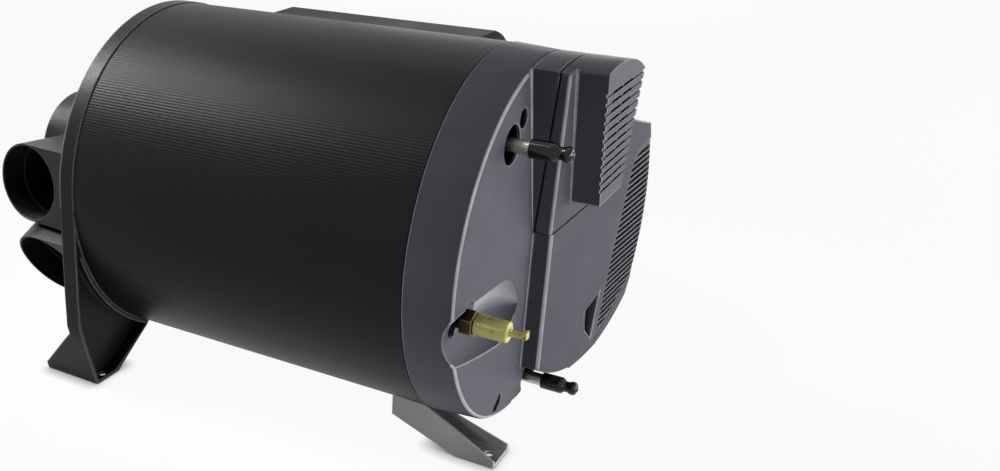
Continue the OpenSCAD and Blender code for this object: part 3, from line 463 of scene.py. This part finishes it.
# places of the edges that get a round of their own, in millimetres on the drum
# a leaning line runs through "at" with "lean", and "near" is how far off it an edge may lie
portWall = {"at": (0.6, 6.5), "lean": -0.25, "near": 0.7, "rim": 139.2, "far": 65.4}
shoulderTop = {"at": (182.5, 5.0), "lean": 0.147, "near": 0.5, "above": 3}
faceEdge = {"front": 181.0, "rim": 136.5}
coverTop = {"front": 183.0, "rim": 139.2, "left": -24.0, "above": 0.0}
coverNose = {"at": (196.5, 6.5), "lean": 0.0994, "near": 1.0, "left": 2.0}
boxFoot = {"at": (203.7, 30.0), "lean": 0.0706, "near": 1.0, "left": 20.0}
wallFoot = {"front": 182.5, "near": 0.4, "left": 2.0}
boxFront = {"at": (228.6, 64.0), "lean": 0.0653, "deep": 4.0, "low": 30.0, "high": 126.0}
boxEdge = {"at": (2.1, 64.0), "lean": -0.369, "near": 0.6}
louvreEdge = {"at": (93.7, 28.0), "lean": 0.13, "near": 0.7, "front": (217.2, 75.6), "slope": 0.294}
fanSeam = {"at": (6.5, 0.6), "lean": 0.3, "near": 0.9, "front": 190.0, "from": 0.0, "to": 66.0}
fanCorner = {"beyond": 121.0, "above": 64.0}
legEdge = {"below": -13.5}


def isNear(line, first, second):
    return abs(first - line["at"][0] - line["lean"] * (second - line["at"][1])) < line["near"]


def onOuterSkin(y, z):  # outside of the shoulder and the electronics cover, not the inside of their walls
    return isNear(portWall, y, z) or math.hypot(y, z) > portWall["rim"] or y > portWall["far"]


def atShoulderTop(x, y, z):  # where the cap's shoulder meets the electronics cover
    return isNear(shoulderTop, x, z) and z > shoulderTop["above"] and onOuterSkin(y, z)


def atFaceEdge(x, y, z):
    return x > faceEdge["front"] and math.hypot(y, z) > faceEdge["rim"]


def atCoverTop(x, y, z):  # top of the walls that face the ports
    onRim = x > coverTop["front"] and math.hypot(y, z) > coverTop["rim"]
    return onRim and y < coverTop["left"] and z > coverTop["above"]


def atCoverNose(x, y, z):
    return isNear(coverNose, x, z) and y < coverNose["left"]


def atBoxFoot(x, y, z):  # inner corner where the box rises from the electronics cover
    return isNear(boxFoot, x, z) and y < boxFoot["left"]


def atWallFoot(x, y, z):  # inner corner between the face and the shoulder
    return abs(x - wallFoot["front"]) < wallFoot["near"] and y < wallFoot["left"]


def behindBoxFront(x, z):
    return boxFront["at"][0] + boxFront["lean"] * (z - boxFront["at"][1]) - x


def atVents(x, y, z):
    return behindBoxFront(x, z) < boxFront["deep"] and boxFront["low"] < z < boxFront["high"]


def atBoxEdge(x, y, z):
    return atVents(x, y, z) and isNear(boxEdge, y, z)


def offVents(x, y, z):
    return not atVents(x, y, z)


def atLouvreEdge(x, y, z):
    front, start = louvreEdge["front"]
    return isNear(louvreEdge, y, z) and x > front + louvreEdge["slope"] * (y - start)


def atFanSeam(x, y, z):  # between the electronics cover and the fan cover
    return isNear(fanSeam, z, y) and x > fanSeam["front"] and fanSeam["from"] < y < fanSeam["to"]


def atFanCorner(x, y, z):
    return y > fanCorner["beyond"] and z > fanCorner["above"]


def belowLegTop(x, y, z):
    return z < legEdge["below"]


# mouldings and sheet with their edges eased: the rounds are made in this order, with widths in millimetres
outlets = [f"outlet_{level}_{side}" for side in ("near", "far") for level in ("upper", "lower")]
rearFeet = ["rear_foot_near", "rear_foot_far"]
# each round also marks its new faces with a painted highlight or a painted shade value
eased = {
    "front_cap": [
        {"width": 1.5, "where": atFaceEdge, "paintedHighlight": 0.9},
        {"width": 2.3, "where": atCoverTop, "paintedHighlight": 0.15},
        {"width": 1.2, "where": atWallFoot, "inner": True, "paintedHighlight": 1.0},
        {"width": 1.4, "where": atShoulderTop, "paintedShade": 1.0},
        {"width": 0.7, "paintedHighlight": 0.5},
    ],
    "fan_cover": [
        {"width": 3.0, "where": atFanCorner, "paintedHighlight": 0.3},
        {"width": 1.0, "where": atFanSeam, "paintedShade": 0.9},
        {"width": 1.2, "where": atLouvreEdge, "paintedShade": 1.0},
        {"width": 1.2, "shortest": 12.0, "paintedHighlight": 0.6},
        {"width": 0.7, "paintedHighlight": 0.3},
    ],
    "electronics_cover": [
        {"width": 2.3, "where": atCoverTop, "paintedHighlight": 0.15},
        {"width": 2.5, "where": atCoverNose, "paintedHighlight": 0.7},
        {"width": 1.6, "where": atBoxFoot, "inner": True, "paintedHighlight": 0.8},
        {"width": 1.4, "where": atShoulderTop, "paintedShade": 1.0},
        {"width": 0.8, "where": atFanSeam, "paintedShade": 0.9},
        {"width": 1.8, "shortest": 15.0, "where": offVents, "paintedHighlight": 0.7},
        {"width": 0.45, "where": offVents, "paintedHighlight": 0.5},
        {"width": 0.5, "where": atBoxEdge, "paintedHighlight": 0.9},
        {"width": 0.25, "where": atVents, "paintedHighlight": 0.35},
    ],
    "intake_louvre": [
        {"width": 0.8, "where": atLouvreEdge, "paintedShade": 1.0},
        {"width": 0.35, "paintedHighlight": 0.5},
    ],
    "rear_cap": [{"width": 1.0, "paintedHighlight": 0.7}],
    **{outlet: [{"width": 0.6, "paintedHighlight": 0.5}] for outlet in outlets},
    **{foot: [{"width": 1.2, "where": belowLegTop, "paintedHighlight": 0.7}] for foot in rearFeet},
    "front_foot": [{"width": 0.8, "paintedHighlight": 0.8}],
    "flue_box": [{"width": 1.0, "paintedHighlight": 0.5}],
    "flue_cover": [{"width": 0.8, "paintedHighlight": 0.5}],
    "air_collar": [{"width": 0.6, "paintedHighlight": 0.5}],
    "gas_locknut": [{"width": 0.6, "paintedHighlight": 0.8}],
}

# faces that get painted highlight or painted shade as a whole
scoop = {"front": 182.3, "y": (-62.0, -14.0), "z": (-62.0, -6.0), "facing": 0.2, "level": 0.3, "fade": 0.5}
fanNose = {"y": (2.4, 4.6), "front": 193.0, "below": 5.0, "facing": 0.15, "paintedHighlight": 0.9}
ventRows = {
    "rib": (23.0, 100.0), "lean": 0.25, "ribWidth": 3.0, "slot": 21.0,
    "deep": 0.35, "facing": 0.5, "paintedShade": 0.95,
}
slatGaps = {"facing": 0.45, "paintedShade": 0.9}
outletPaintedHighlight = {"paintedHighlight": 0.12}


def paintCap(place, normal):  # painted reflection in the hollow round the gas fitting, lightest where it faces down
    x, y, z = place
    inside = scoop["y"][0] < y < scoop["y"][1] and scoop["z"][0] < z < scoop["z"][1]
    if inside and x < scoop["front"] and normal.x > scoop["facing"]:
        return {"paintedHighlight": min(1.0, max(0.0, (scoop["level"] - normal.z) / scoop["fade"]))}


def paintFan(place, normal):  # painted highlight on the rounded nose beside the wall
    x, y, z = place
    onNose = fanNose["y"][0] < y < fanNose["y"][1] and x > fanNose["front"] and z < fanNose["below"]
    if onNose and normal.x > fanNose["facing"]:
        return {"paintedHighlight": fanNose["paintedHighlight"]}


def paintBox(place, normal):  # painted shade inside the vent slots, on both sides of the rib between them
    x, y, z = place
    offRib = abs(y - ventRows["rib"][0] - ventRows["lean"] * (ventRows["rib"][1] - z)) - ventRows["ribWidth"] / 2
    inSlot = atVents(x, y, z) and behindBoxFront(x, z) > ventRows["deep"] and 0 < offRib < ventRows["slot"]
    if inSlot and abs(normal.y) < ventRows["facing"]:
        return {"paintedShade": ventRows["paintedShade"]}


# painted highlight: the outlets are lightened a little all over towards their edge colour
def paintOutlet(place, normal):
    return outletPaintedHighlight


def paintLouvre(place, normal):  # painted shade between the slats
    if normal.x < slatGaps["facing"]:
        return {"paintedShade": slatGaps["paintedShade"]}


painted = {
    "intake_louvre": paintLouvre, "front_cap": paintCap, "fan_cover": paintFan, "electronics_cover": paintBox,
    **{outlet: paintOutlet for outlet in outlets},
}
cutWithin = 0.00002  # points this close to a cut count as on it, in metres


def cutAcross(form, place, normal):
    bmesh.ops.bisect_plane(form, geom=wholeOf(form), plane_co=place, plane_no=normal, dist=cutWithin)


def cutVentRows(form):  # splits the grooves where the slots begin and end
    lean = Vector((0, 1, ventRows["lean"])).normalized()
    inner = ventRows["ribWidth"] / 2
    for off in (-1, 1):
        for reach in (inner, inner + ventRows["slot"]):
            cutAcross(form, onDrum(0, ventRows["rib"][0] + off * reach, ventRows["rib"][1]), lean)


# forms that are moved a little, with places in millimetres on the drum
fanFlank = {
    "from": 88.0, "to": 122.5, "swell": 13.0, "middle": -2.0, "half": 75.0,
    "slope": 0.29, "foot": (184.0, 205.0), "cuts": 22,
}
fanFoot = {
    "from": 44.0, "step": 45.0, "to": 80.0, "below": -100.0, "rim": 134.0,
    "lift": 7.2, "kept": (46.2, -126.5),  # the top of the step stays where it is
}
legTop = {"above": -13.2, "rise": 16.0, "inward": 0.75}


def swellFlank(form):  # the far flank follows the round of the drum
    for i in range(fanFlank["cuts"] + 1):
        height = fanFlank["middle"] + fanFlank["half"] * (2 * i / fanFlank["cuts"] - 1)
        cutAcross(form, onDrum(0, 0, height), (0, 0, 1))
    low, high = fanFlank["foot"]
    for v in form.verts:
        x, y, z = fromDrum(v.co)
        share = min(1.0, max(0.0, (y - fanFlank["from"]) / (fanFlank["to"] - fanFlank["from"])))
        out = share * fanFlank["swell"] * max(0.0, 1 - ((z - fanFlank["middle"]) / fanFlank["half"]) ** 2)
        if out > 0:
            rise = fanFlank["slope"] * out * min(1.0, max(0.0, (x - low) / (high - low)))
            v.co += Vector((rise, out, 0)) * millimetre


def liftFoot(form):  # the lower edge runs on without a step
    for v in form.verts:
        x, y, z = fromDrum(v.co)
        kept = y < fanFoot["kept"][0] and z > fanFoot["kept"][1]
        atRim = z < fanFoot["below"] and math.hypot(y, z) > fanFoot["rim"]
        if fanFoot["from"] < y < fanFoot["to"] and atRim and not kept:
            share = 1 - max(0.0, y - fanFoot["step"]) / (fanFoot["to"] - fanFoot["step"])
            v.co.z += fanFoot["lift"] * share * millimetre


def runOutLeg(form):  # the top of the leg runs out into the ring
    for v in form.verts:
        x, y, z = fromDrum(v.co)
        if z > legTop["above"]:
            v.co += Vector((0, math.copysign(legTop["inward"], -y), legTop["rise"])) * millimetre


reshaped = {
    "fan_cover": (liftFoot, swellFlank), "intake_louvre": (swellFlank,),
    **{foot: (runOutLeg,) for foot in rearFeet},
}
rounding = {
    "sharpFrom": 36, "folded": 140, "tries": 4, "clear": 2.5, "segments": 3,
    "merge": 0.00004, "flat": 0.5, "smoothBelow": 34,
}


def middleOf(edge):
    return (edge.verts[0].co + edge.verts[1].co) / 2


def foldsOf(form):
    limit = math.radians(rounding["folded"])
    return [middleOf(e) for e in form.edges if e.is_manifold and e.calc_face_angle(0) > limit]


def roundEdges(base, width, where=None, shortest=0.0, paintedHighlight=0.0, paintedShade=0.0, inner=False):
    def fits(edge):
        if not edge.is_manifold or edge.is_convex == inner:
            return False
        if edge.calc_face_angle(0) < math.radians(rounding["sharpFrom"]) or edge.calc_length() < shortest * millimetre:
            return False
        return where is None or where(*fromDrum(middleOf(edge)))

    native = len(foldsOf(base))
    folded = []
    for attempt in range(rounding["tries"]):  # each try leaves out spots where the last one folded
        form = base.copy()
        edges = [e for e in form.edges if fits(e)]
        if folded:
            near = KDTree(len(folded))
            for i, place in enumerate(folded):
                near.insert(place, i)
            near.balance()
            clear = width * rounding["clear"] * millimetre
            edges = [
                e for e in edges
                if min(near.find(c)[2] for c in (middleOf(e), e.verts[0].co, e.verts[1].co)) > clear]
        made = bmesh.ops.bevel(
            form, geom=edges, offset=width * millimetre, offset_type="OFFSET", affect="EDGES",
            segments=rounding["segments"], profile=0.5, material=-1, clamp_overlap=False)
        wrong = foldsOf(form)
        if len(wrong) <= native or attempt == rounding["tries"] - 1:
            break
        folded += wrong
        form.free()
    # the new round faces get their painted highlight and painted shade values
    for layer, value in (("paintedHighlight", paintedHighlight), ("paintedShade", paintedShade)):
        for face in made["faces"]:
            face[form.faces.layers.float[layer]] = value
    base.free()
    return form


def easedCopy(nodeName, rounds):
    form = bmesh.new()
    form.from_mesh(nodes[nodeName].data)
    for layer in ("paintedHighlight", "paintedShade"):
        form.faces.layers.float.new(layer)
    bmesh.ops.remove_doubles(form, verts=form.verts, dist=rounding["merge"])
    bmesh.ops.dissolve_limit(
        form, angle_limit=math.radians(rounding["flat"]), verts=form.verts, edges=form.edges)
    for r in rounds:
        form = roundEdges(form, **r)
    if nodeName == "electronics_cover":
        cutVentRows(form)
    if nodeName in painted:
        for face in form.faces:
            values = painted[nodeName](fromDrum(face.calc_center_median()), face.normal)
            for layer, value in (values or {}).items():
                face[form.faces.layers.float[layer]] = max(value, face[form.faces.layers.float[layer]])
    for reshape in reshaped.get(nodeName, ()):
        reshape(form)
    return form


for nodeName, rounds in eased.items():
    form = easedCopy(nodeName, rounds)
    piece = addPiece(
        nodeName + "_eased", form, slotOfNode[nodeName], instead=nodeName, smoothBelow=rounding["smoothBelow"])
    level = piece.modifiers.new("evenShading", "WEIGHTED_NORMAL")
    level.keep_sharp = True
print("stage: eased edges")

# shapes that the added pieces share
turning = {"steps": 48, "merge": 0.00001}
smallSmooth = 40  # degrees below which an added piece is shaded smooth


def turnedForm(profile, start):  # profile of (along, radius) in millimetres, turned about a line along the drum
    form = bmesh.new()
    verts = [form.verts.new(onDrum(start[0] + along, start[1], start[2] + radius)) for along, radius in profile]
    edges = [form.edges.new(pair) for pair in zip(verts, verts[1:])]
    bmesh.ops.spin(
        form, geom=verts + edges, cent=onDrum(*start), axis=(1, 0, 0), angle=math.tau,
        steps=turning["steps"], use_merge=True)
    bmesh.ops.remove_doubles(form, verts=form.verts, dist=turning["merge"])
    bmesh.ops.recalc_face_normals(form, faces=form.faces)
    return form


def boxForm(form, low, high, width):
    made = bmesh.ops.create_cube(form, size=1.0)["verts"]
    bmesh.ops.scale(form, vec=[b - a for a, b in zip(low, high)], verts=made)
    bmesh.ops.translate(form, vec=[(a + b) / 2 for a, b in zip(low, high)], verts=made)
    edges = list({e for v in made for e in v.link_edges})
    bmesh.ops.bevel(
        form, geom=edges, offset=width * millimetre, offset_type="OFFSET", affect="EDGES",
        segments=2, profile=0.5, material=-1)


# protective caps of the water tubes
tubeCap = {
    "profile": [
        (14.0, 0.0), (14.0, 5.1), (0.0, 5.1), (0.0, 6.2), (0.5, 6.7), (14.5, 6.75), (16.6, 6.7), (17.9, 6.2),
        (18.8, 5.3), (19.6, 4.6), (21.0, 4.35), (22.4, 4.5), (23.6, 5.0), (24.8, 5.45), (26.2, 5.6), (27.6, 5.35),
        (28.6, 4.7), (29.2, 3.6), (29.4, 2.6), (30.0, 2.1), (30.3, 1.2), (30.4, 0.0)],
    "hot": (195.5, -57.0, 90.0),
    "cold": (195.5, 22.0, -129.0),
}
for which in ("hot", "cold"):
    form = turnedForm(tubeCap["profile"], tubeCap[which])
    addPiece(which + "TubeCap", form, "cap_gloss", which + "_cap", which + "_water_cap", smallSmooth)

# yellow cap of the gas fitting, with its pull tab
gasPlug = {
    "start": (187.8, -111.0, -20.0),
    "profile": [
        (11.0, 0.0), (11.0, 6.1), (0.0, 6.1), (0.0, 7.2), (0.5, 7.7), (19.0, 7.55), (22.6, 7.5), (23.6, 7.1),
        (24.0, 6.2), (24.0, 3.4), (25.2, 2.7), (26.0, 0.0)],
    "stem": {"from": 23.5, "to": 37.0, "size": (5.6, 2.6), "lift": 0.0},
    "tip": {"from": 34.2, "to": 37.0, "size": (5.6, 5.6), "lift": 1.2},
    "round": 0.6,
}


def gasPlugForm():
    form = turnedForm(gasPlug["profile"], gasPlug["start"])
    x, y, z = gasPlug["start"]
    for part in ("stem", "tip"):
        bit = gasPlug[part]
        wide, high = (side / 2 for side in bit["size"])
        near = onDrum(x + bit["from"], y - wide, z - high + bit["lift"])
        far = onDrum(x + bit["to"], y + wide, z + high + bit["lift"])
        boxForm(form, near, far, gasPlug["round"])
    return form


addPiece("gasPlugCap", gasPlugForm(), "cap_yellow", "gas_plug", "gas_cap", smallSmooth)
print("stage: caps")

# moulded bead on the face, along the foot of the fan cover, coloured all over with painted highlight
faceBead = {"at": (182.3, 1.7), "low": -112.0, "high": 5.0, "radius": 0.8, "sides": 14, "paintedHighlight": 1.0}


def faceBeadForm():
    form = bmesh.new()
    bmesh.ops.create_circle(
        form, cap_ends=True, segments=faceBead["sides"], radius=faceBead["radius"] * millimetre)
    bmesh.ops.translate(form, vec=onDrum(*faceBead["at"], faceBead["low"]), verts=form.verts)
    grown = bmesh.ops.extrude_face_region(form, geom=form.faces[:])["geom"]
    rise = (faceBead["high"] - faceBead["low"]) * millimetre
    bmesh.ops.translate(form, vec=(0, 0, rise), verts=vertsOf(grown))
    bmesh.ops.recalc_face_normals(form, faces=form.faces)
    layer = form.faces.layers.float.new("paintedHighlight")
    for face in form.faces:
        face[layer] = faceBead["paintedHighlight"]
    return form


addPiece("faceBead", faceBeadForm(), "cover_grey", smoothBelow=smallSmooth)

# stiffened wall that parts the two sides of the rear hub
hubWall = {
    "from": -269.8, "to": -165.0, "thick": 2.5, "half": 44.0, "round": 0.5,
    "ribs": (-244.0, -218.0, -192.0), "ribWide": 3.0, "ribDeep": 7.0, "ribHalf": 40.0,
}


def hubWallForm():
    form = bmesh.new()
    deep, high = hubWall["thick"] / 2, hubWall["half"]
    boxForm(form, onDrum(hubWall["from"], -deep, -high), onDrum(hubWall["to"], deep, high), hubWall["round"])
    wide, deep, high = hubWall["ribWide"] / 2, hubWall["ribDeep"] / 2, hubWall["ribHalf"]
    for at in hubWall["ribs"]:
        boxForm(form, onDrum(at - wide, -deep, -high), onDrum(at + wide, deep, high), hubWall["round"])
    return form


addPiece("hubWall", hubWallForm(), "cap_black", smoothBelow=smallSmooth)

# dark sheet close behind the louvre: painted shade standing in for the dark inside of the cover
louvreShadeSheet = {
    "front": [(213.0, 71.0), (225.4, 114.5), (224.6, 117.5), (222.0, 118.7), (206.0, 118.7)],
    "thick": 1.2, "inset": 0.6, "low": -114.0, "high": 57.0,
    "reach": 135.0, "trims": (-26, -34, -42, -50),  # corners cut back inside the round of the cover, by angle
}


def louvreShadeSheetForm():
    form = bmesh.new()
    thick = louvreShadeSheet["thick"]
    front = [onDrum(x, y, louvreShadeSheet["low"]) for x, y in louvreShadeSheet["front"]]
    back = [
        onDrum(x - thick, y - thick * louvreShadeSheet["inset"], louvreShadeSheet["low"])
        for x, y in reversed(louvreShadeSheet["front"])]
    sheet = form.faces.new([form.verts.new(c) for c in front + back])
    grown = bmesh.ops.extrude_face_region(form, geom=[sheet])["geom"]
    rise = (louvreShadeSheet["high"] - louvreShadeSheet["low"]) * millimetre
    bmesh.ops.translate(form, vec=(0, 0, rise), verts=vertsOf(grown))
    for angle in louvreShadeSheet["trims"]:
        side = Vector((0, math.cos(math.radians(angle)), math.sin(math.radians(angle))))
        place = drumMiddle + side * louvreShadeSheet["reach"] * millimetre
        cut = bmesh.ops.bisect_plane(
            form, geom=wholeOf(form), plane_co=place, plane_no=side, clear_outer=True)["geom_cut"]
        bmesh.ops.holes_fill(form, edges=edgesOf(cut), sides=0)
    bmesh.ops.recalc_face_normals(form, faces=form.faces)
    swellFlank(form)
    return form


addPiece("louvreShadeSheet", louvreShadeSheetForm(), "gasket_rubber")
print("stage: louvre shade sheet")


print("stage: done")
